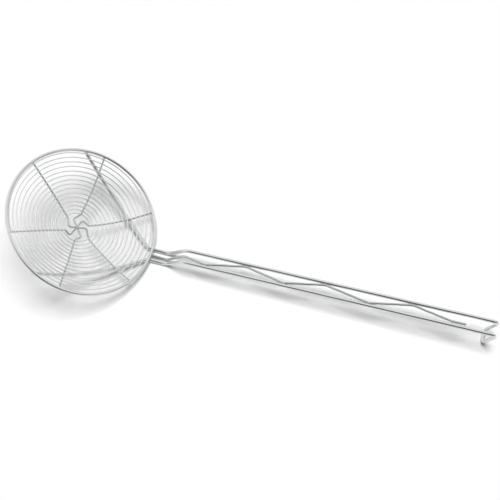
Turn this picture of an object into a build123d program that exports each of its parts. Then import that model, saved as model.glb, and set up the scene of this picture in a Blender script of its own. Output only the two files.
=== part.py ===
from build123d import *
import math
import os

# Spider skimmer: a shallow basket of wire on a long handle of two parallel wires.
# Millimetres and degrees. +X runs along the handle to its hook, +Z is up.
# It is laid down as it rests: the handle's low section and the hook's cross bar on Z = 0.

# Rim
rim_radius = 80.0          # to the middle of the wire
rim_wire = 3.5
head_tilt = 26.0           # the rim's side by the handle is the low one

# Basket, in the head's own axes: X to the handle, Z square to the rim's plane
spoke_wire = 2.0
spoke_turn = 2.0           # the basket sits turned by this much from the handle
spoke_pairs = 3
rim_slope = 24.0           # the bowl's slope where it meets the rim
hub_slope = 9.0            # and near the middle
outer_run = 4.0            # straight stretch of the bowl's section inside the rim wire's middle
inner_run = 6.6            # and outside the hub's turns; one long curve joins the two
tip_depth = 0.3            # the spokes aim this far below the rim wire's middle
tip_bite = 0.8             # how far a spoke's end runs past the rim wire's inner side, before it is cut to fit
hub_radius = 13.3          # here each spoke turns aside
jog_radius = 9.8           # and here it turns to the middle
jog_angle = 41.0
jog_bend = 2.4
stack_gap = 0.02

# The wires are bent by hand, so the six spoke ends stray a little from their even places, each by its own amount
tip_turns = (1.5, 3.5, 0.0, 0.0, 0.4, -2.0)    # degrees round
hub_turns = (0.0, 9.0, 2.5, 10.0, 5.0, 4.0)
hub_steps = (0.0, 0.0, 1.6, 0.7, 0.0, 3.6)     # millimetres out
jog_turns = (0.0, 0.0, 0.0, 0.0, 14.0, 0.0)
jog_steps = (1.5, 2.2, 0.0, 2.3, 0.0, 0.0)

# Coil
coil_wire = 1.3
coil_start = 14.2
coil_first_pitch = 3.5
coil_half_turns = 29
coil_edge_turns = 0.05     # how much of a turn runs right beside the rim at the end
coil_gap = 0.03            # from the coil to the spokes under it
rim_gap = 0.05             # from the last turn to the rim

# Handle frame: one wire, from under the basket along the handle, round the hook and back
frame_wire = 4.0
neck_half = 6.45           # from the handle's middle plane to each wire's middle, at the rim
handle_half = 7.0          # the same at the top of the step
hook_half = 7.5            # and at the hook
runner_angles = {1: 107.0, -1: 110.0}   # where the frame's ends lie under the rim, from the handle
runner_overrun = 0.5       # past the rim wire's middle
runner_bows = {1: 3.5, -1: 4.5}         # outwards at the middle, where it also dips to pass under the spokes
neck_insets = {1: 4.5, -1: 0.0}         # how far inside the rim the wire bends to the handle
runner_arc_share = 0.75    # of the runner that its one long bend takes up
neck_bend = 9.0
low_run = 19.2             # from the rim to the low bend
low_fall = 1.3
low_bend = 14.0
rise_run = 19.2            # from the low bend to the top bend
rise = 15.4
top_bend = 16.0
handle_length = 330.8      # from the top bend to the hook
handle_pitch = 1.4
hook_back = 12.0
hook_bend = 4.3
bar_bend = 4.4

# Brace: one wire, bent from side to side between the handle's two
brace_wire = 2.5
brace_start = 1.0          # its first end lies this far inside the rim wire's middle
brace_aside = 1.2          # and this far off the handle's middle plane
brace_bend = 14.0
brace_low_bend = 12.0
brace_top_bend = 9.0
brace_shares = (0.073, 0.198, 0.326, 0.455, 0.598, 0.730, 0.857)
brace_tail_share = 0.900
tail_gap = 1.1             # from the last stretch to the wire beside it

# Wires that are welded together sink into each other by this much
weld_sink = 0.15

rim_r = rim_wire / 2
spoke_r = spoke_wire / 2
coil_r = coil_wire / 2
frame_r = frame_wire / 2
brace_r = brace_wire / 2


def sin(degrees):
    return math.sin(math.radians(degrees))


def cos(degrees):
    return math.cos(math.radians(degrees))


def tan(degrees):
    return math.tan(math.radians(degrees))


# The bowl's section: a straight stretch at each slope, joined by one arc
bowl_outer = rim_radius - outer_run
bowl_inner = hub_radius + inner_run
bowl_arc = (bowl_outer - bowl_inner) / (sin(rim_slope) - sin(hub_slope))
outer_z = -tip_depth - (rim_radius - bowl_outer) * tan(rim_slope)
arc_x = bowl_outer - bowl_arc * sin(rim_slope)
arc_z = outer_z + bowl_arc * cos(rim_slope)
inner_z = arc_z - bowl_arc * cos(hub_slope)
hub_z = inner_z - (bowl_inner - hub_radius) * tan(hub_slope)
knee = arc_x + bowl_arc * sin((rim_slope + hub_slope) / 2) / cos((rim_slope - hub_slope) / 2)
knee_height = outer_z - (bowl_outer - knee) * tan(rim_slope)


def bowl_height(radius, lift):
    """Height, above the rim's middle plane, of the curve that lies lift above the spokes' middles."""
    arc = bowl_arc - lift
    reach = (radius - arc_x) / arc
    if reach > sin(rim_slope):
        return outer_z + (radius - bowl_outer) * tan(rim_slope) + lift / cos(rim_slope)
    if reach < sin(hub_slope):
        return inner_z + (radius - bowl_inner) * tan(hub_slope) + lift / cos(hub_slope)
    return arc_z - arc * math.sqrt(1 - reach ** 2)


def bowl_slope(radius, lift):
    reach = (radius - arc_x) / (bowl_arc - lift)
    reach = min(max(reach, sin(hub_slope)), sin(rim_slope))
    return reach / math.sqrt(1 - reach ** 2)


def around(radius, angle, height):
    return Vector(radius * cos(angle), radius * sin(angle), height)


def wire_along(path, diameter):
    """A round wire along a path, checked against its section times its length."""
    section = Plane(origin=path @ 0, z_dir=path % 0) * Circle(diameter / 2)
    wire = sweep(section, path=path)
    expected = math.pi * (diameter / 2) ** 2 * path.length
    print("length %.1f, volume over section times length %.4f" % (path.length, wire.volume / expected))
    return wire


# Heights of the handle's side profile, from the surface that it rests on
rise_slope = math.degrees(math.atan2(rise, rise_run))
fall_slope = math.degrees(math.atan2(low_fall, low_run))
half_turn = (rise_slope + fall_slope) / 2
mean_slope = (rise_slope - fall_slope) / 2
low_z = frame_r + low_bend - low_bend * cos(mean_slope) / cos(half_turn)
neck_depth = rim_r + frame_r - weld_sink
neck_z = low_z + low_fall
rim_z = neck_z + rim_radius * sin(head_tilt) + neck_depth * cos(head_tilt)
neck_x = rim_radius * cos(head_tilt) - neck_depth * sin(head_tilt)
low_x = neck_x + low_run
top_x = low_x + rise_run
top_z = low_z + rise
end_x = top_x + handle_length
end_z = top_z + handle_length * tan(handle_pitch)

head = Location((0, 0, rim_z), (0, head_tilt, 0))


def in_head(point):
    """A point of the head's own axes, in the part's axes."""
    return (head * Location(point)).position


def make_rim():
    return head * Torus(rim_radius, rim_r)


def make_spoke(number):
    """One wire right across the bowl, with a jog each side of the middle."""
    level = hub_z + (number - 1) * (spoke_wire + stack_gap)
    end_radius = rim_radius - rim_r + tip_bite
    end_height = outer_z + (end_radius - bowl_outer) * tan(rim_slope)
    halves = []
    for end in (2 * number, 2 * number + 1):
        axis = spoke_turn + 30 + number * 180 / spoke_pairs + end % 2 * 180
        near = hub_radius + hub_steps[end]
        tip = around(end_radius, axis + tip_turns[end], end_height)
        hub = around(near, axis + hub_turns[end], hub_z + hub_steps[end] * tan(hub_slope))
        bend = hub + (tip - hub) * (knee - near) / (end_radius - near)
        bend.Z = knee_height
        jog = around(jog_radius + jog_steps[end], axis + jog_angle + jog_turns[end], level)
        halves.append([tip, bend, hub, jog])
    points = halves[0] + halves[1][::-1]
    bends = [bowl_arc, jog_bend, jog_bend]
    path = FilletPolyline(points, radius=bends + bends[::-1])
    return head * wire_along(path, spoke_wire)


coil_turns = coil_half_turns / 2
coil_end = rim_radius - rim_r - coil_r - rim_gap
coil_second = coil_start + coil_first_pitch
coil_pitch = (coil_end - coil_second) / (coil_turns - coil_edge_turns - 1)


def coil_radius(turns):
    """Radius and its rate a turn: the first turn is closer, and the last runs beside the rim."""
    if turns < 1:
        return coil_start + coil_first_pitch * turns, coil_first_pitch
    radius = coil_second + coil_pitch * (turns - 1)
    if radius >= coil_end:
        return coil_end, 0
    return radius, coil_pitch


def coil_point(turns):
    """A point of the coil's middle line, and its direction there."""
    lift = spoke_r + coil_r + coil_gap
    radius, rate = coil_radius(turns)
    angle = spoke_turn + 30 + 360 * turns
    point = around(radius, angle, bowl_height(radius, lift))
    along = around(2 * math.pi * radius, angle + 90, 0)
    outward = around(rate, angle, rate * bowl_slope(radius, lift))
    return point, (along + outward).normalized()


def biarc(start, start_way, finish, finish_way):
    """Two arcs that meet smoothly, from one point and direction to another."""
    span = finish - start
    ways = start_way + finish_way
    open_share = 2 * (1 - start_way.dot(finish_way))
    across = span.dot(ways)
    reach = (math.sqrt(across ** 2 + open_share * span.dot(span)) - across) / open_share
    first = start + start_way * reach
    second = finish - finish_way * reach
    middle = (first + second) / 2
    return [
        TangentArc(start, middle, tangent=start_way),
        TangentArc(middle, finish, tangent=(second - first).normalized()),
    ]


def least_gap(path, turns):
    """Least gap of the coil to itself, measured on points a quarter of a turn apart or more."""
    steps = 36
    places = [path @ (n / (turns * steps)) for n in range(int(turns * steps) + 1)]
    gap = rim_radius
    for n, place in enumerate(places):
        for other in places[n + steps // 4:]:
            gap = min(gap, (place - other).length)
    return gap - coil_wire


def make_coil():
    """One unbroken spiral on top of the spokes, from near the middle to the rim.

    It starts on one end of the first spoke wire and stops on the other.
    """
    quarters = 2 * coil_half_turns
    sweep_turns = coil_turns + tip_turns[1] / 360
    nodes = [coil_point(sweep_turns * n / quarters) for n in range(quarters + 1)]
    first, first_way = nodes[0]
    last, last_way = nodes[-1]
    edges = [Line(first - first_way * coil_wire, first)]
    for (start, start_way), (finish, finish_way) in zip(nodes, nodes[1:]):
        edges += biarc(start, start_way, finish, finish_way)
    edges.append(Line(last, last + last_way * coil_wire))
    path = Wire([edge.edge() for edge in edges])
    print("coil's least gap to itself %.2f" % least_gap(path, sweep_turns))
    return head * wire_along(path, coil_wire)


def runner(side):
    """The runner's ends and its one corner, with the radius whose arc just reaches the spokes above it."""
    start = around(rim_radius + runner_overrun, side * runner_angles[side], -neck_depth)
    neck_pitch = head_tilt - fall_slope
    neck_out = rim_radius - neck_insets[side] * cos(neck_pitch)
    neck = Vector(neck_out, side * neck_half, -neck_depth - neck_insets[side] * sin(neck_pitch))
    middle = (start + neck) / 2
    crest = middle + Vector(middle.X, middle.Y, 0).normalized() * runner_bows[side]
    crest_radius = math.hypot(crest.X, crest.Y)
    under = (spoke_r + frame_r - weld_sink) * math.hypot(1, bowl_slope(crest_radius, 0))
    crest.Z = bowl_height(crest_radius, 0) - under
    corner = middle + (crest - middle) / (1 - runner_arc_share / 2)
    half_angle = math.atan2((corner - middle).length, (neck - middle).length)
    radius = (corner - crest).length / (1 / math.cos(half_angle) - 1)
    return start, corner, neck, radius


def frame_side(side):
    """Corners of the handle's wire, from its end under the rim to the middle of the hook's bar."""
    start, corner, neck, runner_bend = runner(side)
    points = [
        in_head(start),
        in_head(corner),
        in_head(neck),
        Vector(low_x, side * neck_half, low_z),
        Vector(top_x, side * handle_half, top_z),
        Vector(end_x, side * hook_half, end_z),
        Vector(end_x - hook_back, side * hook_half, frame_r),
        Vector(end_x - hook_back, 0, frame_r),
    ]
    return points, [runner_bend, neck_bend, low_bend, top_bend, hook_bend, bar_bend]


def make_frame_half(side, rim):
    """The handle's one long wire is two halves that meet in the middle of the hook's bar."""
    points, bends = frame_side(side)
    return wire_along(FilletPolyline(points, radius=bends), frame_wire) - rim


def brace_room(share):
    """How far off the middle plane the brace's middle can go, at a share of the handle's length."""
    return handle_half + (hook_half - handle_half) * share - frame_r - brace_r


def make_brace(rim, frame):
    """The zigzag wire: under the rim, up the joggle, then from side to side."""
    start = Vector(rim_radius - brace_start, -brace_aside, -(rim_r + brace_r - weld_sink))
    step_share = (brace_shares[-1] - brace_shares[0]) / (len(brace_shares) - 1)
    slant = math.atan2(handle_half + hook_half - frame_wire - brace_wire, handle_length * step_share)
    rounding = brace_bend / math.cos(slant) - brace_bend
    points = [in_head(start), Vector(low_x, -brace_aside, low_z), Vector(top_x, 0, top_z)]
    side = -1
    for share in brace_shares:
        swing = brace_room(share) + weld_sink + rounding
        along = handle_length * share
        points.append(Vector(top_x + along, side * swing, top_z + along * tan(handle_pitch)))
        side = -side
    points[-1].Y = tail_gap - brace_room(brace_shares[-1])
    along = handle_length * brace_tail_share
    tail_y = tail_gap - brace_room(brace_tail_share)
    points.append(Vector(top_x + along, tail_y, top_z + along * tan(handle_pitch)))
    bends = [brace_low_bend, brace_top_bend] + [brace_bend] * len(brace_shares)
    path = FilletPolyline(points, radius=bends)
    return wire_along(path, brace_wire) - rim - frame


os.makedirs("parts", exist_ok=True)
rim = make_rim()
frame_left = make_frame_half(1, rim)
frame_right = make_frame_half(-1, rim)
frame = frame_left + frame_right
nodes = {"rim_ring": rim, "handle_frame_left": frame_left, "handle_frame_right": frame_right}
nodes["brace_wire"] = make_brace(rim, frame)
for number in range(spoke_pairs):
    nodes["spoke_wire_%d" % (number + 1)] = make_spoke(number) - rim - frame
nodes["coil_wire"] = make_coil()

box = Compound(list(nodes.values())).bounding_box()
shift = Location((-box.center().X, -box.center().Y, -box.min.Z))
for name, solid in nodes.items():
    export_step(shift * solid, "parts/%s.step" % name)
print("size", [round(side, 2) for side in box.size], "shifted by", [round(side, 2) for side in shift.position])
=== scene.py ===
import math

import bpy
import numpy as np
from bpy.props import FloatProperty, FloatVectorProperty, PointerProperty
from mathutils import Matrix, Vector


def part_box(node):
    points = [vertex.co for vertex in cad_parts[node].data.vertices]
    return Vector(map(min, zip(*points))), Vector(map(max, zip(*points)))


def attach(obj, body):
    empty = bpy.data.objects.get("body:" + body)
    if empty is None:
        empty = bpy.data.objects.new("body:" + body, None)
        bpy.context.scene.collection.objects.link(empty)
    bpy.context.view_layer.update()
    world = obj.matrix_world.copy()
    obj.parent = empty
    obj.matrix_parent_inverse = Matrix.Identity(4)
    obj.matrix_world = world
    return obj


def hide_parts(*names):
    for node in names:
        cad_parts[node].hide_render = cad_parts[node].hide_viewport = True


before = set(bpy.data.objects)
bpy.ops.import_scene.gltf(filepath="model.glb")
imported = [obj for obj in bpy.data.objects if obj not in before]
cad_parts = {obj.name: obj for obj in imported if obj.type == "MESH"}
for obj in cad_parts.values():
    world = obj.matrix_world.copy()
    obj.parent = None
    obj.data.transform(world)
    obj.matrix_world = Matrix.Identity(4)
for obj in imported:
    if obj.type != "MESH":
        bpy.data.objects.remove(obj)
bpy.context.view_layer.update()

bl_info = {
    "name": "Spider Skimmer",
    "version": (1, 0, 0),
    "blender": (4, 5, 0),
    "location": "3D View > Sidebar > Skimmer",
    "description": "A wire spider skimmer: a spiral basket on a long handle of two wires",
    "category": "Add Mesh",
}

# Lengths are metres. +X runs along the handle to its hook, +Z is up, and the floor is at Z = 0.
MM = 0.001


def length(name, default, description):
    """A size in millimetres, kept in metres."""
    return FloatProperty(name=name, default=default * MM, description=description, unit="LENGTH",
                         precision=5)


def angle(name, degrees, description):
    return FloatProperty(name=name, default=math.radians(degrees), description=description, subtype="ANGLE")


def share(name, default, description):
    return FloatProperty(name=name, default=default, description=description, subtype="FACTOR",
                         min=0.0, max=1.0)


def number(name, default, description):
    return FloatProperty(name=name, default=default, description=description)


def colour(name, default, description):
    return FloatVectorProperty(name=name, default=default, description=description, subtype="COLOR",
                               size=3, min=0.0, max=1.0)


class BasketSizes(bpy.types.PropertyGroup):
    """Sizes of the rim, the spokes and the coil"""

    rim_radius: length("Rim radius", 80.0, "To the middle of the rim's wire")
    rim_wire: length("Rim wire", 3.5, "Diameter of the rim's wire")
    head_tilt: angle("Head tilt", 26.0, "How far the rim leans down towards the handle")
    butt_angle: angle("Butt weld", 143.0, "Where the rim's wire is joined end to end")
    butt_swell: share("Butt swell", 0.045, "How much thicker the rim's wire is at its join")
    butt_width: length("Butt width", 1.1, "Half the width of the swelling at the join")

    spoke_wire: length("Spoke wire", 2.0, "Diameter of the spokes' wire")
    spoke_turn: angle("Spoke turn", 2.0, "The basket sits turned by this much from the handle")
    rim_slope: angle("Rim slope", 24.0, "Slope of the bowl where it meets the rim")
    hub_slope: angle("Hub slope", 9.0, "Slope of the bowl near the middle")
    outer_run: length("Outer run", 4.0, "Straight stretch of the bowl's section at the rim")
    inner_run: length("Inner run", 6.6, "Straight stretch of the bowl's section at the hub")
    tip_depth: length("Tip depth", 0.3, "The spokes aim this far below the rim wire's middle")
    tip_bite: length("Tip bite", 0.8, "How far a spoke's end runs into the rim's wire")
    hub_radius: length("Hub radius", 13.3, "Where each spoke turns aside")
    jog_radius: length("Jog radius", 9.8, "Where it turns to the middle")
    jog_angle: angle("Jog angle", 41.0, "How far round the second turn lies")
    jog_bend: length("Jog bend", 2.4, "Bend radius at both turns")

    coil_wire: length("Coil wire", 1.3, "Diameter of the coil's wire")
    coil_start: length("Coil start", 14.2, "Radius of the coil's inner end")
    first_pitch: length("First pitch", 3.5, "How far out the first turn winds")
    coil_turns: number("Coil turns", 14.5, "From one end to the other")
    edge_turns: number("Edge turns", 0.05, "Part of a turn that runs beside the rim")
    rim_gap: length("Rim gap", 0.05, "From the last turn to the rim")
    coil_sink: length("Coil sink", 0.14, "How deep the welds draw the coil into the spokes")
    coil_waver: length("Coil waver", 0.3, "How unevenly the coil is wound")


class HandleSizes(bpy.types.PropertyGroup):
    """Sizes of the handle's frame and its brace"""

    frame_wire: length("Frame wire", 4.0, "Diameter of the handle's wire")
    neck_half: length("Neck half", 6.45, "From the middle plane to each wire's middle, at the rim")
    half_width: length("Half width", 7.0, "The same at the head of the step")
    hook_half: length("Hook half", 7.5, "The same at the hook")
    runner_overrun: length("Runner overrun", 0.5, "How far the ends run past the rim wire's middle")
    runner_arc: share("Runner arc", 0.75, "Share of a runner that its long bend takes up")
    neck_bend: length("Neck bend", 9.0, "Bend radius under the rim at the handle's side")
    low_run: length("Low run", 19.2, "From the rim to the low bend")
    low_fall: length("Low fall", 1.3, "How far the wire falls on the way")
    low_bend: length("Low bend", 14.0, "Bend radius at the foot of the step")
    rise_run: length("Rise run", 19.2, "From the low bend to the top bend")
    rise: length("Rise", 15.4, "Height of the step")
    top_bend: length("Top bend", 16.0, "Bend radius at the head of the step")
    handle_length: length("Handle length", 330.8, "From the top bend to the hook")
    handle_pitch: angle("Handle pitch", 1.4, "How the handle rises towards its hook")
    hook_back: length("Hook back", 12.0, "How far the hook's bar lies back from the bend")
    hook_bend: length("Hook bend", 4.3, "Bend radius where the wire folds down")
    bar_bend: length("Bar bend", 4.4, "Bend radius at the bar's two ends")
    weld_sink: length("Weld sink", 0.15, "How deep welded wires sink into each other")

    brace_wire: length("Brace wire", 2.5, "Diameter of the zigzag wire")
    brace_start: length("Brace start", 1.0, "How far inside the rim wire's middle it starts")
    brace_aside: length("Brace aside", 1.2, "How far off the middle plane it starts")
    brace_bend: length("Brace bend", 14.0, "Bend radius of the zigzag")
    brace_low_bend: length("Brace low bend", 12.0, "Bend radius at the foot of the step")
    brace_top_bend: length("Brace top bend", 9.0, "Bend radius at the head of the step")
    tail_gap: length("Tail gap", 1.1, "From the last stretch to the wire beside it")


class FinishSettings(bpy.types.PropertyGroup):
    """Colours and polish of the steel wires"""

    steel: colour("Steel", (0.72, 0.735, 0.73), "Colour of the rim, the handle's wire and the welds")
    drawn_steel: colour("Drawn steel", (0.58, 0.60, 0.595), "Colour of the spokes and the brace")
    pale_steel: colour("Pale steel", (0.85, 0.86, 0.855), "Colour of the coil's wire")
    dull_steel: colour("Dull steel", (0.40, 0.41, 0.405), "Colour of every wire's duller streaks")
    weld_tint: colour("Weld tint", (0.36, 0.31, 0.25), "Colour that the heat left round each weld")
    polish: share("Polish", 0.10, "Roughness of the rim and the handle's wire")
    drawn: share("Drawn", 0.13, "Roughness of the spokes and the brace")
    wound: share("Wound", 0.21, "Roughness of the coil")


class StageSettings(bpy.types.PropertyGroup):
    """The floor, the light and the camera"""

    floor: colour("Floor", (0.98, 0.98, 0.98), "Colour of the floor")
    dark_room: colour("Dark room", (0.05, 0.055, 0.055), "What the wires mirror in front of them and above")
    grey_room: colour("Grey room", (0.30, 0.32, 0.32), "What they mirror beyond the hook")
    key_light: number("Key light", 2.95, "Strength of the overhead light")
    key_spread: angle("Key spread", 36.0, "Apparent width of the overhead light")
    fill_light: number("Fill light", 0.09, "Light from all round")
    view_azimuth: angle("View azimuth", 15.43, "The camera's turn round the skimmer")
    view_elevation: angle("View elevation", 61.65, "The camera's height above the horizon")
    view_roll: angle("View roll", -0.06, "The camera's roll")
    view_distance: length("View distance", 1250.0, "From the camera to the rim's middle, along the view")
    view_right: length("View right", 173.66, "The camera's place to the right of the rim's middle")
    view_up: length("View up", -30.42, "The camera's place above the rim's middle, across the view")
    view_zoom: number("View zoom", 2.409, "Focal length over the sensor's width")


# The spokes are bent by hand. Each end in turn: how far its tip and its two corners by the hub
# are turned round and moved out from their even places, and how far its middle bows to the side.
TIP_TURNS = np.radians([1.5, 3.5, 0.0, 0.0, 0.4, -2.0])
HUB_TURNS = np.radians([0.0, 9.0, 2.5, 10.0, 5.0, 4.0])
HUB_STEPS = np.array([0.0, 0.0, 1.6, 0.7, 0.0, 3.6]) * MM
JOG_TURNS = np.radians([0.0, 0.0, 0.0, 0.0, 14.0, 0.0])
JOG_STEPS = np.array([1.5, 2.2, 0.0, 2.3, 0.0, 0.0]) * MM
LEG_BOWS = np.array([-1.5, -1.5, -1.75, 0.7, -2.0, -0.3]) * MM

# The handle frame's left side and its right: the place of its end under the rim, how far its
# runner bows outwards, and how far inside the rim it bends to the handle
RUNNER_ANGLES = {1: math.radians(107.0), -1: math.radians(110.0)}
RUNNER_BOWS = {1: 3.5 * MM, -1: 4.5 * MM}
NECK_INSETS = {1: 4.5 * MM, -1: 0.0}

# Places of the zigzag wire's bends along the handle
BRACE_SHARES = (0.073, 0.198, 0.326, 0.455, 0.598, 0.730, 0.857)
BRACE_TAIL_SHARE = 0.900

# The six ends of the three spoke wires, those that cross a runner, and how far round the first is
SPOKE_ENDS, CROSSED_ENDS = range(6), (0, 2, 3, 5)
FIRST_SPOKE = math.radians(30)

# Sides of each wire's tube, the points or steps of its path, and the points on a spoke's leg where
# the coil's crossings and the runners' are looked for
SIDES = {"rim": 28, "frame": 28, "brace": 24, "spoke": 20, "coil": 14}
RIM_POINTS, SPOKE_POINTS, COIL_POINTS = 360, 34, 1760
FRAME_STEP, BRACE_STEP, SPOKE_STEP = 2.2 * MM, 2.0 * MM, 1.2 * MM
COIL_LOOKUP, RUNNER_LOOKUP = 60, 300
SHARP_ANGLE = math.radians(40)

# The three rings at a cut end: how far in they lie and how wide they are, in wire radii
CUT_INSETS = np.array([0.0, 0.07, 0.22])
CUT_WIDTHS = np.array([0.78, 0.94, 1.0])

# Waver of the handle's wires: lengths and weights of the waves, then its size, length and seed
WAVER_WAVES = ((1.0, 1.0), (0.57, 0.5), (0.31, 0.3))
FRAME_WAVER = (0.12 * MM, 70 * MM, 4)
BRACE_WAVER = (0.15 * MM, 45 * MM, 9)

# Waves of the coil: cycles in a turn, phase and weight. They die out this far from the rim.
COIL_WAVES = ((0.83, 0.7, 1.0), (1.61, 2.1, 0.7), (2.87, 4.0, 0.5))
STILL_TURNS = 0.6

# Weld beads: rows and columns of their grid, how far below the coil's middle its beads lie, in
# diameters, the small turn that gives its direction, and half sizes along, across and upwards
BEAD_ROWS, BEAD_COLUMNS = 7, 14
BEAD_DROP, SMALL_TURN = 0.48, 0.002
COIL_BEAD = np.array([0.72, 0.62, 0.36]) * MM
TIP_BEAD = np.array([0.95, 1.25, 1.15]) * MM
RIM_BEAD = np.array([2.1, 1.5, 0.75]) * MM
BRACE_BEAD = np.array([3.2, 0.95, 0.7]) * MM
RUNNER_BEAD = np.array([1.5, 1.3, 0.55]) * MM

# How far the tint round a weld reaches, and how deep the drawing streaks are
HEAT_REACH = {"rim": 3.0 * MM, "frame": 3.0 * MM, "brace": 2.4 * MM, "spoke": 1.7 * MM, "coil": 1.2 * MM}
STREAK_DEPTH = {"rim": 0.35, "frame": 0.35, "brace": 0.4, "spoke": 0.4, "coil": 0.3}
STREAK_STRETCH = 0.045

# Directions of the lamp and of the room's dark and grey patches, and the cosines where these fade
KEY_WAY = (0.04, 0.14, 1.0)
DARK_WAY, DARK_FADE = (0.25, -0.80, 0.55), (0.46, 1.0)
GREY_WAY, GREY_FADE = (0.97, 0.15, 0.20), (0.80, 0.96)
WHITE = (1.0, 1.0, 1.0, 1.0)
FLOOR_RADII = np.array([0.5, 1.0, 2.0, 4.0, 8.0])
FLOOR_COLUMNS = 96


def unit(vectors):
    """Vectors, each divided by its length."""
    vectors = np.asarray(vectors, float)
    return vectors / np.linalg.norm(vectors, axis=-1, keepdims=True)


def around(radius, turn, height):
    """Points at a radius, an angle and a height about the Z axis."""
    radius, turn, height = np.broadcast_arrays(radius, turn, height)
    return np.stack([radius * np.cos(turn), radius * np.sin(turn), height], axis=-1)


class Bowl:
    """The basket's section, in the head's own axes: height over the rim's plane at each radius.

    A straight stretch at the hub's slope, one arc of a circle, and a straight stretch at the
    rim's slope. Lift moves the whole section square to itself.
    """

    def __init__(self, sizes):
        self.low, self.high = sizes.hub_slope, sizes.rim_slope
        self.outer = sizes.rim_radius - sizes.outer_run
        self.inner = sizes.hub_radius + sizes.inner_run
        self.arc = (self.outer - self.inner) / (math.sin(self.high) - math.sin(self.low))
        self.outer_z = -sizes.tip_depth - sizes.outer_run * math.tan(self.high)
        self.centre_x = self.outer - self.arc * math.sin(self.high)
        self.centre_z = self.outer_z + self.arc * math.cos(self.high)
        self.inner_z = self.centre_z - self.arc * math.cos(self.low)
        self.hub_z = self.inner_z - sizes.inner_run * math.tan(self.low)

    def reach(self, radius, lift):
        """The sine of the arc's slope at each radius, if it went on that far."""
        return (np.asarray(radius) - self.centre_x) / (self.arc - lift)

    def height(self, radius, lift=0.0):
        reach = self.reach(radius, lift)
        inside = np.clip(reach, math.sin(self.low), math.sin(self.high))
        curve = self.centre_z - (self.arc - lift) * np.sqrt(1 - inside ** 2)
        outer = self.outer_z + (radius - self.outer) * math.tan(self.high) + lift / math.cos(self.high)
        inner = self.inner_z + (radius - self.inner) * math.tan(self.low) + lift / math.cos(self.low)
        middle = np.where(reach < math.sin(self.low), inner, curve)
        return np.where(reach > math.sin(self.high), outer, middle)

    def slope(self, radius, lift=0.0):
        """The slope's tangent at each radius."""
        inside = np.clip(self.reach(radius, lift), math.sin(self.low), math.sin(self.high))
        return inside / np.sqrt(1 - inside ** 2)


def rim_centre():
    """The middle of the rim, from the packed model."""
    low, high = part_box("rim_ring")
    return np.array((low + high) / 2)


def from_head(points, sizes):
    """Points of the head's own axes, turned about Y by the tilt and moved to the rim's middle."""
    c, s = math.cos(sizes.head_tilt), math.sin(sizes.head_tilt)
    turned = np.array([[c, 0.0, s], [0.0, 1.0, 0.0], [-s, 0.0, c]])
    return np.asarray(points) @ turned.T + rim_centre()


def head_normal(basket):
    """The direction square to the rim's plane, upwards."""
    up, middle = from_head([[0, 0, 1], [0, 0, 0]], basket)
    return up - middle


def rounded(corners, bends, step):
    """Points along straight runs whose corners are rounded off by arcs.

    At a corner that turns by an angle a, an arc of radius r starts r * tan(a / 2) before it. Its
    points are start + r * (sin t * along + (1 - cos t) * side), for t from 0 to a.
    """
    corners = np.asarray(corners, float)
    ways = unit(np.diff(corners, axis=0))
    stretches = []
    here = corners[0]
    for corner, bend, along, onward in zip(corners[1:-1], bends, ways, ways[1:]):
        turn = math.acos(np.clip(along @ onward, -1.0, 1.0))
        reach = bend * math.tan(turn / 2)
        start = corner - along * reach
        side = unit(onward - along * (along @ onward))
        count = max(2, math.ceil(np.linalg.norm(start - here) / step))
        stretches.append(here + (start - here) * np.linspace(0, 1, count, endpoint=False)[:, None])
        t = np.linspace(0, turn, max(8, math.ceil(bend * turn / step)), endpoint=False)[:, None]
        stretches.append(start + bend * (np.sin(t) * along + (1 - np.cos(t)) * side))
        here = corner + onward * reach
    count = max(2, math.ceil(np.linalg.norm(corners[-1] - here) / step))
    stretches.append(here + (corners[-1] - here) * np.linspace(0, 1, count)[:, None])
    return np.concatenate(stretches)


def run_of(path):
    """How far along a path each of its points lies."""
    return np.concatenate([[0.0], np.cumsum(np.linalg.norm(np.diff(path, axis=0), axis=1))])


def waver(path, size, wavelength, seed):
    """A path moved a little to the side, as hand-bent wire is: three sine waves of unlike lengths.

    The waves fade out at both ends, so that the welded ends stay in place.
    """
    random = np.random.default_rng(seed)
    run = run_of(path)
    lengths, weights = np.array(WAVER_WAVES).T[:, :, None, None]
    phases = random.uniform(0, math.tau, (len(lengths), 3, 1))
    offsets = (weights * np.sin(math.tau * run / (lengths * wavelength) + phases)).sum(0).T
    fade = np.clip(np.minimum(run, run[-1] - run) / wavelength, 0.0, 1.0)[:, None]
    return path + offsets * fade * size / weights.sum()


def frames_along(path, closed, lean):
    """Two directions square to a path at each point, that turn with it and don't twist.

    They start from a fixed direction's cross product with the path's own. The twist that this
    gives from point to point is added up and turned back.
    """
    if closed:
        tangent = unit(np.roll(path, -1, axis=0) - np.roll(path, 1, axis=0))
    else:
        tangent = unit(np.gradient(path, axis=0))
    side = unit(np.cross(lean, tangent))
    top = np.cross(tangent, side)
    if not closed:
        twist = np.cumsum(((side[1:] - side[:-1]) * top[:-1]).sum(1))
        twist = np.concatenate([[0.0], twist])[:, None]
        c, s = np.cos(twist), np.sin(twist)
        side, top = c * side - s * top, s * side + c * top
    return side, top


def new_object(name, data):
    """An object in the scene that shows a mesh, a lamp or a camera."""
    made = bpy.data.objects.new(name, data)
    bpy.context.scene.collection.objects.link(made)
    return made


def new_piece(name, points, faces, uvs):
    """A smooth piece from points, faces of three or four corners, and a UV for each face corner."""
    mesh = bpy.data.meshes.new(name)
    mesh.from_pydata(points.tolist(), [], faces)
    layer = mesh.uv_layers.new(name="wire")
    layer.data.foreach_set("uv", np.asarray(uvs, np.float32).ravel())
    mesh.shade_smooth()
    mesh.set_sharp_from_angle(angle=SHARP_ANGLE)
    mesh.update()
    return new_object(name, mesh)


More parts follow.
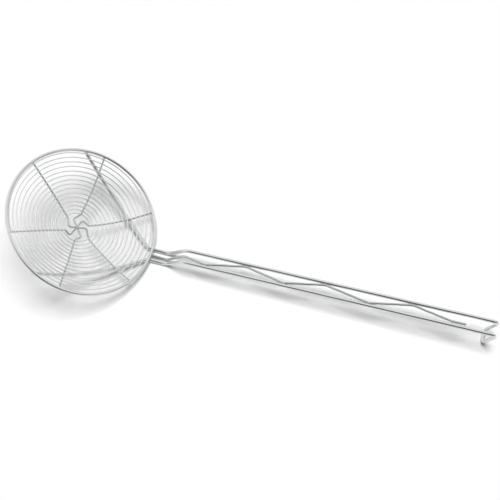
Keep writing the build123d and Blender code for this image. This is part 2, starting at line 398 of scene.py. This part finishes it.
def grid_faces(rings, columns, closed=False):
    """Faces of four corners between rings of points. Closed joins the last ring to the first."""
    ring = np.arange(rings if closed else rings - 1)[:, None]
    column = np.arange(columns)
    after, beside = (ring + 1) % rings, (column + 1) % columns
    return np.stack([ring * columns + column, after * columns + column,
                     after * columns + beside, ring * columns + beside], axis=-1).reshape(-1, 4)


def tube(name, path, radius, sides, closed=False, lean=(1.0, 1.0, 1.0)):
    """A wire: a circle carried along a path, closed on itself or with two cut ends.

    Point (i, j) is path[i] + radius[i] * (cos a * side[i] + sin a * top[i]), with a = 2 pi j / sides.
    A cut end has a small rounded edge, and its middle is one point.
    """
    radius = np.broadcast_to(radius, len(path)).astype(float)
    if not closed:
        ways = unit(path[[1, -2]] - path[[0, -1]])
        insets = CUT_INSETS[:, None] * radius[0]
        narrow = CUT_WIDTHS * radius[0]
        first, last = path[0] + insets * ways[0], path[-1] + insets * ways[1]
        path = np.concatenate([first, path[1:-1], last[::-1]])
        radius = np.concatenate([narrow, radius[1:-1], narrow[::-1]])
    side, top = frames_along(path, closed, lean)
    column = np.arange(sides)
    turn = column * math.tau / sides
    ring = np.cos(turn)[:, None] * side[:, None] + np.sin(turn)[:, None] * top[:, None]
    points = (path[:, None] + radius[:, None, None] * ring).reshape(-1, 3)
    rings = len(path)
    run = run_of(path) / MM
    if closed:
        run = np.append(run, run[-1] + np.linalg.norm(path[0] - path[-1]) / MM)
    u = np.stack([run[:-1], run[1:], run[1:], run[:-1]], axis=-1)[:, None]
    v = np.stack([column, column, column + 1, column + 1], axis=-1) / sides
    uvs = np.stack(np.broadcast_arrays(u, v), axis=-1).reshape(-1, 2)
    faces = grid_faces(rings, sides, closed).tolist()
    if not closed:
        poles = len(points)
        points = np.concatenate([points, path[[0, -1]]])
        beside = (column + 1) % sides
        first = np.stack([column, beside, np.full(sides, poles)], axis=-1)
        last = np.stack([beside, column, np.full(sides, poles + 1)], axis=-1)
        last[:, :2] += (rings - 1) * sides
        faces += first.tolist() + last.tolist()
        fan = np.stack([column, column + 1, column + 0.5], axis=-1) / sides
        for u, v in ((0.0, fan), (run[-1], fan[:, [1, 0, 2]])):
            uvs = np.concatenate([uvs, np.stack([np.full_like(v, u), v], axis=-1).reshape(-1, 2)])
    return new_piece(name, points, faces, uvs)


def beads(name, centres, along, across, sizes):
    """Weld beads: one rounded lump for each centre.

    A lump is a sphere's grid of points, each pushed out by its three half sizes along the lump's
    own axes: along, across, and square to both. Its two poles are single points.
    """
    rows, columns = BEAD_ROWS, BEAD_COLUMNS
    column = np.arange(columns)
    turn = column * math.tau / columns
    up = np.linspace(0, math.pi, rows + 1)[1:-1, None]
    grid = around(np.sin(up), turn, np.cos(up))
    sphere = np.concatenate([grid.reshape(-1, 3), [[0, 0, 1], [0, 0, -1]]])
    along = unit(along)
    normal = unit(np.cross(along, across))
    across = np.cross(normal, along)
    axes = np.stack([along, across, normal], axis=1) * sizes[:, None]
    points = centres[:, None] + sphere @ axes
    beside = (column + 1) % columns
    pole = (rows - 1) * columns
    last = (rows - 2) * columns
    head = np.stack([column, beside, np.full(columns, pole)], axis=-1)
    foot = np.stack([last + beside, last + column, np.full(columns, pole + 1)], axis=-1)
    shift = (np.arange(len(points)) * len(sphere))[:, None, None]
    faces = []
    for part in (grid_faces(rows - 1, columns), head, foot):
        faces += (part + shift).reshape(-1, part.shape[1]).tolist()
    flat = points.reshape(-1, 3)
    return new_piece(name, flat, faces, flat[np.concatenate(faces), :2] / MM)


def mark_heat(piece, welds, width):
    """Stores on each point how near the nearest weld is: exp(-(distance / width) squared)."""
    points = np.empty(len(piece.data.vertices) * 3)
    piece.data.vertices.foreach_get("co", points)
    points = points.reshape(-1, 3)
    nearest = np.full(len(points), np.inf)
    for weld in np.asarray(welds).reshape(-1, 3):
        nearest = np.minimum(nearest, ((points - weld) ** 2).sum(1))
    heat = piece.data.attributes.new("heat", "FLOAT", "POINT")
    heat.data.foreach_set("value", np.exp(-nearest / width ** 2).astype(np.float32))


class Nodes:
    """Short calls that add and join nodes of one material or world."""

    def __init__(self, tree):
        self.tree = tree
        tree.nodes.clear()

    def add(self, kind, inputs=None, **settings):
        node = self.tree.nodes.new(kind)
        for name, value in settings.items():
            setattr(node, name, value)
        for name, value in (inputs or {}).items():
            if isinstance(value, bpy.types.NodeSocket):
                self.tree.links.new(value, node.inputs[name])
            else:
                node.inputs[name].default_value = value
        return node

    def surface(self, inputs):
        """The one shader of a material, joined to its output."""
        shader = self.add("ShaderNodeBsdfPrincipled", inputs)
        self.add("ShaderNodeOutputMaterial", {"Surface": shader.outputs["BSDF"]})

    def metal(self, tone, rough, height, strength, depth):
        """A bare metal skin with a fine relief."""
        bump = self.add("ShaderNodeBump", {"Height": height, "Strength": strength, "Distance": depth})
        self.surface({"Base Color": tone, "Roughness": rough, "Metallic": 1.0,
                      "Normal": bump.outputs["Normal"]})

    def noise(self, place, scale, detail, roughness=0.5):
        inputs = {"Vector": place, "Scale": scale, "Detail": detail, "Roughness": roughness}
        return self.add("ShaderNodeTexNoise", inputs).outputs["Fac"]

    def math(self, operation, first, second=0.0, clamp=False):
        node = self.add("ShaderNodeMath", {0: first, 1: second}, operation=operation, use_clamp=clamp)
        return node.outputs[0]

    def mix(self, factor, first, second):
        node = self.add("ShaderNodeMix", {0: factor, 6: first, 7: second}, data_type="RGBA")
        return node.outputs[2]

    def spread(self, value, low, high, to_low=0.0, to_high=1.0):
        """A value's range from low to high, stretched smoothly to another range."""
        inputs = {"Value": value, "From Min": low, "From Max": high,
                  "To Min": to_low, "To Max": to_high}
        node = self.add("ShaderNodeMapRange", inputs, interpolation_type="SMOOTHSTEP")
        return node.outputs["Result"]


def new_material(name):
    """A material and the calls that fill it."""
    material = bpy.data.materials.new(name)
    material.use_nodes = True
    return material, Nodes(material.node_tree)


def steel(kind, finish, bright, roughness, wire):
    """Drawn and polished stainless wire.

    The drawing die leaves fine streaks along the wire. They are noise on a cylinder that follows
    the wire: its length, and the cosine and sine of the place round it. Larger clouds of handling
    dull the polish, and each weld has a tint that fades along the wire.
    """
    material, nodes = new_material(kind + "_steel")
    uv = nodes.add("ShaderNodeUVMap", uv_map="wire").outputs["UV"]
    place = nodes.add("ShaderNodeSeparateXYZ", {"Vector": uv})
    turn = nodes.math("MULTIPLY", place.outputs["Y"], math.tau)
    girth = wire / 2 / MM
    side = nodes.math("MULTIPLY", nodes.math("COSINE", turn), girth)
    top = nodes.math("MULTIPLY", nodes.math("SINE", turn), girth)
    along = nodes.math("MULTIPLY", place.outputs["X"], STREAK_STRETCH)
    skin = nodes.add("ShaderNodeCombineXYZ", {"X": along, "Y": side, "Z": top}).outputs["Vector"]
    streak = nodes.noise(skin, 5.5, 4.0, 0.62)
    place_on_it = nodes.add("ShaderNodeTexCoord").outputs["Object"]
    cloud = nodes.noise(place_on_it, 38.0, 3.0)
    pit = nodes.spread(nodes.noise(place_on_it, 900.0, 2.0), 0.66, 0.78)
    heat = nodes.add("ShaderNodeAttribute", attribute_name="heat").outputs["Fac"]
    heat = nodes.math("MULTIPLY", heat, nodes.spread(cloud, 0.25, 0.7, 0.35, 0.85))

    dull = nodes.spread(streak, 0.50, 0.74, 0.0, 0.55)
    tone = nodes.mix(dull, (*bright, 1.0), (*finish.dull_steel, 1.0))
    tone = nodes.mix(nodes.math("MULTIPLY", pit, 0.5), tone, (*finish.dull_steel, 1.0))
    tone = nodes.mix(heat, tone, (*finish.weld_tint, 1.0))
    rough = nodes.spread(streak, 0.3, 0.75, roughness * 0.75, roughness * 1.35)
    rough = nodes.math("ADD", rough, nodes.spread(cloud, 0.45, 0.72, 0.0, 0.07))
    rough = nodes.math("ADD", rough, nodes.math("MULTIPLY", heat, 0.22), clamp=True)
    relief = nodes.math("SUBTRACT", streak, nodes.math("MULTIPLY", pit, 0.6))
    nodes.metal(tone, rough, relief, STREAK_DEPTH[kind], 0.02 * MM)
    return material


def weld_steel(finish):
    """The skin of a weld: the same steel, melted and grey, with a ripple and a straw tint."""
    material, nodes = new_material("weld_steel")
    place = nodes.add("ShaderNodeTexCoord").outputs["Object"]
    ripple = nodes.noise(place, 1400.0, 3.0)
    cloud = nodes.noise(place, 260.0, 2.0)
    tone = nodes.mix(nodes.spread(cloud, 0.3, 0.7), (*finish.steel, 1.0), (*finish.weld_tint, 1.0))
    rough = nodes.spread(ripple, 0.3, 0.7, 0.26, 0.48)
    nodes.metal(tone, rough, ripple, 0.5, 0.05 * MM)
    return material


def dress(piece, material, slot, *nodes):
    """Gives a piece its material, rides it on the tool, and stands it for its nodes. The slot is not used.
    """
    piece.data.materials.append(material)
    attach(piece, "root")
    if nodes:
        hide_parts(*nodes)


def spoke_axis(end, basket):
    """The direction of one of the six spoke ends, before its tip is bent round."""
    wire, turned = divmod(end, 2)
    return basket.spoke_turn + FIRST_SPOKE + math.radians(60 * wire + 180 * turned)


def spoke_leg(end, basket, places):
    """Plan of one spoke's leg, from its turn at the hub (place 0) to its tip (place 1).

    A straight line between the two, pushed aside by bow * sin(pi * place).
    """
    axis = spoke_axis(end, basket)
    tip_radius = basket.rim_radius - basket.rim_wire / 2 + basket.tip_bite
    hub = around(basket.hub_radius + HUB_STEPS[end], axis + HUB_TURNS[end], 0.0)
    tip = around(tip_radius, axis + TIP_TURNS[end], 0.0)
    side = np.array([-math.sin(axis), math.cos(axis), 0.0])
    places = np.asarray(places, float)[:, None]
    return hub + (tip - hub) * places + side * LEG_BOWS[end] * np.sin(math.pi * places)


def spoke_tips(basket):
    return np.array([spoke_leg(end, basket, [1.0])[0] for end in SPOKE_ENDS])


def spoke_path(wire, basket):
    """One wire right across the bowl: leg, jog, the middle, jog and leg."""
    bowl = Bowl(basket)
    level = bowl.hub_z + (wire - 1) * basket.spoke_wire
    legs, turns = [], []
    for end in (2 * wire, 2 * wire + 1):
        leg = spoke_leg(end, basket, np.linspace(1, 0, SPOKE_POINTS))
        leg[:, 2] = bowl.height(np.hypot(leg[:, 0], leg[:, 1]))
        legs.append(leg)
        turn = spoke_axis(end, basket) + basket.jog_angle + JOG_TURNS[end]
        turns.append(around(basket.jog_radius + JOG_STEPS[end], turn, level))
    corners = [legs[0][-3], legs[0][-1], turns[0], turns[1], legs[1][-1], legs[1][-3]]
    middle = rounded(corners, [basket.jog_bend] * 4, SPOKE_STEP)
    return from_head(np.concatenate([legs[0][:-3], middle, legs[1][:-3][::-1]]), basket)


def coil_end(basket):
    """The count of turns at the coil's outer end, which lies on the second spoke end's tip."""
    return basket.coil_turns + TIP_TURNS[1] / math.tau


def coil_radius(turns, basket):
    """The coil's radius after some turns: a closer first turn, then an even pitch to the rim."""
    end = basket.rim_radius - (basket.rim_wire + basket.coil_wire) / 2 - basket.rim_gap
    second = basket.coil_start + basket.first_pitch
    pitch = (end - second) / (basket.coil_turns - basket.edge_turns - 1)
    inner = basket.coil_start + basket.first_pitch * turns
    return np.where(turns < 1, inner, np.minimum(second + pitch * (turns - 1), end))


def coil_waver(turns, basket):
    """How far the coil strays from its even spiral: waves that don't repeat from turn to turn."""
    cycles, phases, weights = np.array(COIL_WAVES).T[:, :, None]
    waves = (weights * np.sin(math.tau * turns * cycles + phases)).sum(0)
    fade = np.clip(np.minimum(turns, basket.coil_turns - STILL_TURNS - turns), 0.0, 1.0)
    return basket.coil_waver * fade * waves / weights.sum()


def coil_place(turns, basket):
    """The coil's middle line, in the head's axes. It starts over the first spoke end."""
    radius = coil_radius(turns, basket) + coil_waver(turns, basket)
    turn = spoke_axis(0, basket) + math.tau * turns
    lift = (basket.spoke_wire + basket.coil_wire) / 2 - basket.coil_sink
    return around(radius, turn, Bowl(basket).height(radius, lift))


def coil_crossings(basket):
    """Where the coil crosses the spokes: the count of turns at each crossing, and which end it is.

    The spoke's direction changes a little with the radius, so its place is looked up three times.
    """
    found, ends = [], []
    last = coil_end(basket)
    start = spoke_axis(0, basket)
    whole = np.arange(-1, math.ceil(last) + 1)
    for end in SPOKE_ENDS:
        leg = spoke_leg(end, basket, np.linspace(0, 1, COIL_LOOKUP))
        axis = spoke_axis(end, basket)
        radii = np.hypot(leg[:, 0], leg[:, 1])
        angles = np.unwrap(np.arctan2(leg[:, 1], leg[:, 0]))
        angles += math.tau * round((axis - angles[0]) / math.tau)
        turns = whole + (axis - start) / math.tau
        for _ in range(3):
            bent = np.interp(coil_radius(np.clip(turns, 0, last), basket), radii, angles)
            turns = whole + (bent - start) / math.tau
        turns = turns[(turns >= 0) & (turns <= last)]
        found.append(turns)
        ends.append(np.full(len(turns), end))
    return np.concatenate(found), np.concatenate(ends)


def neck_depth(basket, handle):
    """How far below the rim wire's middle the frame's wire lies where the two are welded."""
    return (basket.rim_wire + handle.frame_wire) / 2 - handle.weld_sink


def handle_profile(basket, handle):
    """The handle's side profile, from the rim: neck, low bend, top bend and end, as (x, z)."""
    r = handle.frame_wire / 2
    rise_slope = math.atan2(handle.rise, handle.rise_run)
    fall_slope = math.atan2(handle.low_fall, handle.low_run)
    low_z = r + handle.low_bend * (1 - math.cos((rise_slope - fall_slope) / 2)
                                   / math.cos((rise_slope + fall_slope) / 2))
    centre = rim_centre()
    depth = neck_depth(basket, handle)
    tilt = basket.head_tilt
    neck_x = centre[0] + basket.rim_radius * math.cos(tilt) - depth * math.sin(tilt)
    low_x = neck_x + handle.low_run
    top_x, top_z = low_x + handle.rise_run, low_z + handle.rise
    end_x = top_x + handle.handle_length
    end_z = top_z + handle.handle_length * math.tan(handle.handle_pitch)
    return np.array([[neck_x, low_z + handle.low_fall], [low_x, low_z], [top_x, top_z], [end_x, end_z]])


def runner(side, basket, handle):
    """A runner's start, its one corner, its end and the bend, whose arc just reaches the spokes."""
    bowl = Bowl(basket)
    depth = neck_depth(basket, handle)
    start = around(basket.rim_radius + handle.runner_overrun, side * RUNNER_ANGLES[side], -depth)
    pitch = basket.head_tilt - math.atan2(handle.low_fall, handle.low_run)
    inset = NECK_INSETS[side]
    neck = np.array([basket.rim_radius - inset * math.cos(pitch), side * handle.neck_half,
                     -depth - inset * math.sin(pitch)])
    middle = (start + neck) / 2
    crest = middle + unit(middle * [1, 1, 0]) * RUNNER_BOWS[side]
    radius = np.hypot(crest[0], crest[1])
    under = (basket.spoke_wire + handle.frame_wire) / 2 - handle.weld_sink
    crest[2] = bowl.height(radius) - under * np.hypot(1, bowl.slope(radius))
    corner = middle + (crest - middle) / (1 - handle.runner_arc / 2)
    half_angle = math.atan2(np.linalg.norm(corner - middle), np.linalg.norm(neck - middle))
    bend = np.linalg.norm(corner - crest) / (1 / math.cos(half_angle) - 1)
    return start, corner, neck, bend


def frame_path(basket, handle):
    """The handle's one wire: runner, neck, step, handle, hook, and back the same way."""
    _, *profile = handle_profile(basket, handle)
    bends = [handle.neck_bend, handle.low_bend, handle.top_bend, handle.hook_bend, handle.bar_bend]
    halves = [handle.neck_half, handle.half_width, handle.hook_half]
    sides, runner_bends = [], []
    for side in (1, -1):
        *ends, bend = runner(side, basket, handle)
        line = [(x, side * half, z) for (x, z), half in zip(profile, halves)]
        bar = (profile[-1][0] - handle.hook_back, side * handle.hook_half, handle.frame_wire / 2)
        sides.append([*from_head(ends, basket), *line, bar])
        runner_bends.append(bend)
    bends = [runner_bends[0], *bends, *bends[::-1], runner_bends[1]]
    return rounded(sides[0] + sides[1][::-1], bends, FRAME_STEP)


def brace_room(handle, shares):
    """How far aside the zigzag wire's middle can go, at shares of the handle's length."""
    half = handle.half_width + (handle.hook_half - handle.half_width) * shares
    return half - (handle.frame_wire + handle.brace_wire) / 2


def brace_corners(basket, handle):
    """Corners of the zigzag wire: under the rim, up the step, then from side to side."""
    _, low, top, _ = handle_profile(basket, handle)
    depth = (basket.rim_wire + handle.brace_wire) / 2 - handle.weld_sink
    aside = -handle.brace_aside
    start = from_head([[basket.rim_radius - handle.brace_start, aside, -depth]], basket)[0]
    shares = np.array([*BRACE_SHARES, BRACE_TAIL_SHARE])
    room = brace_room(handle, shares)
    step = (BRACE_SHARES[-1] - BRACE_SHARES[0]) / (len(BRACE_SHARES) - 1)
    slant = math.atan2(2 * room.mean(), handle.handle_length * step)
    swing = room + handle.weld_sink + handle.brace_bend * (1 / math.cos(slant) - 1)
    x = handle.handle_length * shares
    y = swing * np.where(np.arange(len(x)) % 2, 1.0, -1.0)
    y[-2:] = -(room[-2:] - handle.tail_gap)
    zigzag = np.stack([top[0] + x, y, top[1] + x * math.tan(handle.handle_pitch)], axis=-1)
    return np.array([start, [low[0], aside, low[1]], [top[0], 0.0, top[1]], *zigzag])


def brace_path(basket, handle):
    bends = [handle.brace_low_bend, handle.brace_top_bend] + [handle.brace_bend] * len(BRACE_SHARES)
    return rounded(brace_corners(basket, handle), bends, BRACE_STEP)


def rim_welds(basket, handle):
    """Welds on the rim: the spokes' tips, then the frame's ends and necks and the brace.

    The third value gives how far round the rim the last five lie.
    """
    tips = spoke_tips(basket)
    inner = basket.rim_radius - basket.rim_wire / 2
    tips = around(inner, np.arctan2(tips[:, 1], tips[:, 0]), Bowl(basket).height(inner))
    low = -basket.rim_wire / 2
    neck_angle = math.asin(handle.neck_half / basket.rim_radius)
    brace_angle = -math.asin(handle.brace_aside / basket.rim_radius)
    angles = np.array([RUNNER_ANGLES[1], -RUNNER_ANGLES[-1], neck_angle, -neck_angle, brace_angle])
    under = around(basket.rim_radius, angles, low)
    return from_head(tips, basket), from_head(under, basket), angles


def brace_welds(basket, handle):
    """Where the zigzag wire meets the handle's two, one after the other."""
    welds = brace_corners(basket, handle)[3:-2]
    room = brace_room(handle, np.array(BRACE_SHARES[:-1]))
    welds[:, 1] = np.sign(welds[:, 1]) * (room + handle.brace_wire / 2)
    return welds


def runner_welds(basket, handle):
    """Where the runners pass under the spokes: the nearest places of each pair of lines."""
    places = []
    line = frame_path(basket, handle)
    head = line[line[:, 0] < rim_centre()[0] + basket.rim_radius * math.cos(basket.head_tilt)]
    bowl = Bowl(basket)
    for end in CROSSED_ENDS:
        leg = spoke_leg(end, basket, np.linspace(0, 1, RUNNER_LOOKUP))
        leg[:, 2] = bowl.height(np.hypot(leg[:, 0], leg[:, 1]))
        leg = from_head(leg, basket)
        gaps = np.linalg.norm(leg[:, None] - head[None], axis=-1)
        i, j = np.unravel_index(gaps.argmin(), gaps.shape)
        places.append((leg[i] * handle.frame_wire + head[j] * basket.spoke_wire)
                      / (handle.frame_wire + basket.spoke_wire))
    return np.array(places)


def settings(context):
    scene = context.scene
    return scene.skimmer_basket, scene.skimmer_handle, scene.skimmer_finish


class SKIMMER_OT_rim(bpy.types.Operator):
    """Make the rim, one ring of wire with its butt weld"""

    bl_idname = "skimmer.rim"
    bl_label = "Rim"

    def execute(self, context):
        basket, handle, finish = settings(context)
        turn = np.linspace(0, math.tau, RIM_POINTS, endpoint=False)
        path = from_head(around(basket.rim_radius, turn, 0.0), basket)
        off = (turn - basket.butt_angle) * basket.rim_radius
        swell = basket.butt_swell * np.exp(-(off / basket.butt_width) ** 2)
        ring = tube("rim_ring_wire", path, basket.rim_wire / 2 * (1 + swell), SIDES["rim"], closed=True,
                    lean=head_normal(basket))
        tips, under, _ = rim_welds(basket, handle)
        butt = from_head(around(basket.rim_radius, basket.butt_angle, 0.0), basket)
        mark_heat(ring, [*tips, *under, butt], HEAT_REACH["rim"])
        material = steel("rim", finish, finish.steel, finish.polish, basket.rim_wire)
        dress(ring, material, "rim_wire", "rim_ring")
        return {"FINISHED"}


class SKIMMER_OT_spokes(bpy.types.Operator):
    """Make the three wires that cross the bowl as six spokes"""

    bl_idname = "skimmer.spokes"
    bl_label = "Spokes"

    def execute(self, context):
        basket, handle, finish = settings(context)
        material = steel("spoke", finish, finish.drawn_steel, finish.drawn, basket.spoke_wire)
        turns, _ = coil_crossings(basket)
        welds = [*from_head(coil_place(turns, basket), basket), *rim_welds(basket, handle)[0],
                 *runner_welds(basket, handle)]
        for wire in range(3):
            path = spoke_path(wire, basket)
            name = "spoke_wire_%d" % (wire + 1)
            spoke = tube(name + "_bent", path, basket.spoke_wire / 2, SIDES["spoke"])
            mark_heat(spoke, welds, HEAT_REACH["spoke"])
            dress(spoke, material, "spoke_wire", name)
        return {"FINISHED"}


class SKIMMER_OT_coil(bpy.types.Operator):
    """Make the coil, one unbroken spiral on top of the spokes"""

    bl_idname = "skimmer.coil"
    bl_label = "Coil"

    def execute(self, context):
        basket, _, finish = settings(context)
        path = coil_place(np.linspace(0, coil_end(basket), COIL_POINTS), basket)
        ends = path[[0, -1]] + unit(path[[0, -1]] - path[[1, -2]]) * basket.coil_wire
        path = from_head(np.concatenate([ends[:1], path, ends[1:]]), basket)
        coil = tube("coil_wire_wound", path, basket.coil_wire / 2, SIDES["coil"], lean=head_normal(basket))
        crossings, _ = coil_crossings(basket)
        mark_heat(coil, from_head(coil_place(crossings, basket), basket), HEAT_REACH["coil"])
        material = steel("coil", finish, finish.pale_steel, finish.wound, basket.coil_wire)
        dress(coil, material, "coil_wire", "coil_wire")
        return {"FINISHED"}


class SKIMMER_OT_frame(bpy.types.Operator):
    """Make the handle's one long wire, from the rim to the hook and back"""

    bl_idname = "skimmer.frame"
    bl_label = "Handle frame"

    def execute(self, context):
        basket, handle, finish = settings(context)
        path = waver(frame_path(basket, handle), *FRAME_WAVER)
        wire = tube("handle_frame_wire", path, handle.frame_wire / 2, SIDES["frame"])
        _, under, _ = rim_welds(basket, handle)
        welds = [*under, *brace_welds(basket, handle), *runner_welds(basket, handle)]
        mark_heat(wire, welds, HEAT_REACH["frame"])
        material = steel("frame", finish, finish.steel, finish.polish, handle.frame_wire)
        dress(wire, material, "frame_wire", "handle_frame_left", "handle_frame_right")
        return {"FINISHED"}


class SKIMMER_OT_brace(bpy.types.Operator):
    """Make the zigzag wire between the handle's two"""

    bl_idname = "skimmer.brace"
    bl_label = "Brace"

    def execute(self, context):
        basket, handle, finish = settings(context)
        path = waver(brace_path(basket, handle), *BRACE_WAVER)
        wire = tube("brace_wire_bent", path, handle.brace_wire / 2, SIDES["brace"])
        _, under, _ = rim_welds(basket, handle)
        mark_heat(wire, [under[-1], *brace_welds(basket, handle)], HEAT_REACH["brace"])
        material = steel("brace", finish, finish.drawn_steel, finish.drawn, handle.brace_wire)
        dress(wire, material, "brace_wire", "brace_wire")
        return {"FINISHED"}


class SKIMMER_OT_welds(bpy.types.Operator):
    """Make the small beads where wires are welded together"""

    bl_idname = "skimmer.welds"
    bl_label = "Welds"

    def execute(self, context):
        basket, handle, finish = settings(context)
        material = weld_steel(finish)
        normal = head_normal(basket)
        turns, ends = coil_crossings(basket)
        here = from_head(coil_place(turns, basket), basket)
        ahead = from_head(coil_place(turns + SMALL_TURN, basket), basket) - here
        down = np.cross(ahead, from_head(spoke_tips(basket)[ends], basket) - rim_centre())
        down = -unit(down) * np.sign((down * normal).sum(1, keepdims=True))
        under_coil = here + down * basket.coil_wire * BEAD_DROP

        tips, under, angles = rim_welds(basket, handle)
        round_rim = from_head(around(1.0, angles + math.pi / 2, 0.0), basket) - rim_centre()
        braced = brace_welds(basket, handle)
        lengthwise = np.tile([1.0, 0.0, math.tan(handle.handle_pitch)], (len(braced), 1))
        upright = np.tile([0.0, 0.0, 1.0], (len(braced), 1))
        crossed = runner_welds(basket, handle)
        from_tips, from_crossed = tips - rim_centre(), crossed - rim_centre()
        for name, places, along, across, half_sizes, slot in (
                ("coil_welds", under_coil, ahead, np.cross(down, ahead), COIL_BEAD, "coil_wire"),
                ("spoke_tip_welds", tips, from_tips, np.cross(normal, from_tips), TIP_BEAD, "spoke_wire"),
                ("rim_welds", under, round_rim, np.cross(normal, round_rim), RIM_BEAD, "frame_wire"),
                ("brace_welds", braced, lengthwise, upright, BRACE_BEAD, "brace_wire"),
                ("runner_welds", crossed, from_crossed, np.cross(normal, from_crossed), RUNNER_BEAD,
                 "frame_wire")):
            dress(beads(name, places, along, across, half_sizes), material, slot)
        return {"FINISHED"}


class SKIMMER_OT_stage(bpy.types.Operator):
    """Make the floor, the light and the camera"""

    bl_idname = "skimmer.stage"
    bl_label = "Stage"

    def execute(self, context):
        stage = context.scene.skimmer_stage
        self.floor(stage)
        self.key(stage)
        self.world(context, stage)
        self.camera(context, stage)
        context.scene.view_settings.view_transform = "Standard"
        return {"FINISHED"}

    def floor(self, stage):
        """A wide round sheet of white card."""
        rings, columns = len(FLOOR_RADII), FLOOR_COLUMNS
        turn = np.linspace(0, math.tau, columns, endpoint=False)
        points = around(FLOOR_RADII[:, None], turn, 0.0).reshape(-1, 3)
        faces = grid_faces(rings, columns).tolist() + [list(range(columns))]
        mesh = bpy.data.meshes.new("floor")
        mesh.from_pydata(points.tolist(), [], faces)
        material, nodes = new_material("white_card")
        nodes.surface({"Base Color": (*stage.floor, 1.0), "Roughness": 0.9, "Specular IOR Level": 0.0})
        mesh.materials.append(material)
        sheet = new_object("floor", mesh)

    def key(self, stage):
        """A broad soft lamp overhead, a little behind the skimmer. The wires don't mirror it."""
        lamp = bpy.data.lights.new("key", "SUN")
        lamp.energy = stage.key_light
        lamp.angle = stage.key_spread
        key = new_object("key", lamp)
        key.rotation_euler = Vector(KEY_WAY).to_track_quat("Z", "Y").to_euler()
        key.visible_glossy = False

    def world(self, context, stage):
        """A white studio that is dark over the viewer, where the wires mirror it.

        The camera sees plain white. Mirrored rays see white too, but for a dark patch in front and
        above, and a grey one beyond the hook. All other rays get the fill light.
        """
        world = bpy.data.worlds.new("studio")
        context.scene.world = world
        world.use_nodes = True
        world.cycles.sampling_method = "NONE"
        nodes = Nodes(world.node_tree)
        path = nodes.add("ShaderNodeLightPath").outputs
        place = nodes.add("ShaderNodeTexCoord").outputs["Generated"]
        mirrored = WHITE
        for way, fade, tone in ((GREY_WAY, GREY_FADE, stage.grey_room),
                                (DARK_WAY, DARK_FADE, stage.dark_room)):
            near = nodes.add("ShaderNodeVectorMath", {0: place, 1: way}, operation="DOT_PRODUCT")
            patch = nodes.spread(near.outputs["Value"], *fade)
            mirrored = nodes.mix(patch, mirrored, (*tone, 1.0))
        sharp = nodes.math("MAXIMUM", path["Is Glossy Ray"], path["Is Transmission Ray"])
        seen = nodes.mix(sharp, WHITE, mirrored)
        clear = nodes.math("MAXIMUM", path["Is Camera Ray"], sharp)
        strength = nodes.spread(clear, 0.0, 1.0, stage.fill_light, 1.0)
        backdrop = nodes.add("ShaderNodeBackground", {"Color": seen, "Strength": strength})
        nodes.add("ShaderNodeOutputWorld", {"Surface": backdrop.outputs["Background"]})

    def camera(self, context, stage):
        """The camera looks along the view's direction, from its place beside the rim's middle."""
        azimuth, elevation, roll = stage.view_azimuth, stage.view_elevation, stage.view_roll
        flat = math.cos(elevation)
        right = Vector((math.cos(azimuth), math.sin(azimuth), 0.0))
        ahead = Vector((-math.sin(azimuth) * flat, math.cos(azimuth) * flat, -math.sin(elevation)))
        up = right.cross(ahead)
        right, up = (math.cos(roll) * right + math.sin(roll) * up,
                     math.cos(roll) * up - math.sin(roll) * right)
        place = (Vector(rim_centre()) + right * stage.view_right + up * stage.view_up
                 - ahead * stage.view_distance)
        lens = bpy.data.cameras.new("camera")
        lens.lens = lens.sensor_width * stage.view_zoom
        lens.clip_start, lens.clip_end = 0.05, 20.0
        camera = new_object("camera", lens)
        turned = Matrix((right, up, -ahead)).transposed().to_4x4()
        camera.matrix_world = Matrix.Translation(place) @ turned
        context.scene.camera = camera


class SKIMMER_PT_panel(bpy.types.Panel):
    """Sizes, finish and pieces of the spider skimmer"""

    bl_label = "Spider Skimmer"
    bl_idname = "SKIMMER_PT_panel"
    bl_space_type = "VIEW_3D"
    bl_region_type = "UI"
    bl_category = "Skimmer"

    def draw(self, context):
        for group in (*settings(context), context.scene.skimmer_stage):
            box = self.layout.box()
            box.label(text=type(group).__doc__)
            for name in type(group).__annotations__:
                box.prop(group, name)
        for operator in OPERATORS:
            self.layout.operator(operator.bl_idname)


GROUPS = (BasketSizes, HandleSizes, FinishSettings, StageSettings)
OPERATORS = (SKIMMER_OT_rim, SKIMMER_OT_spokes, SKIMMER_OT_coil, SKIMMER_OT_frame, SKIMMER_OT_brace,
             SKIMMER_OT_welds, SKIMMER_OT_stage)


def register():
    for kind in (*GROUPS, *OPERATORS, SKIMMER_PT_panel):
        bpy.utils.register_class(kind)
    scene = bpy.types.Scene
    scene.skimmer_basket = PointerProperty(type=BasketSizes)
    scene.skimmer_handle = PointerProperty(type=HandleSizes)
    scene.skimmer_finish = PointerProperty(type=FinishSettings)
    scene.skimmer_stage = PointerProperty(type=StageSettings)


def unregister():
    scene = bpy.types.Scene
    del scene.skimmer_basket, scene.skimmer_handle, scene.skimmer_finish, scene.skimmer_stage
    for kind in reversed((*GROUPS, *OPERATORS, SKIMMER_PT_panel)):
        bpy.utils.unregister_class(kind)


def main():
    register()
    bpy.ops.skimmer.rim()
    bpy.ops.skimmer.spokes()
    bpy.ops.skimmer.coil()
    bpy.ops.skimmer.frame()
    bpy.ops.skimmer.brace()
    bpy.ops.skimmer.welds()
    bpy.ops.skimmer.stage()


if __name__ == "__main__":
    main()
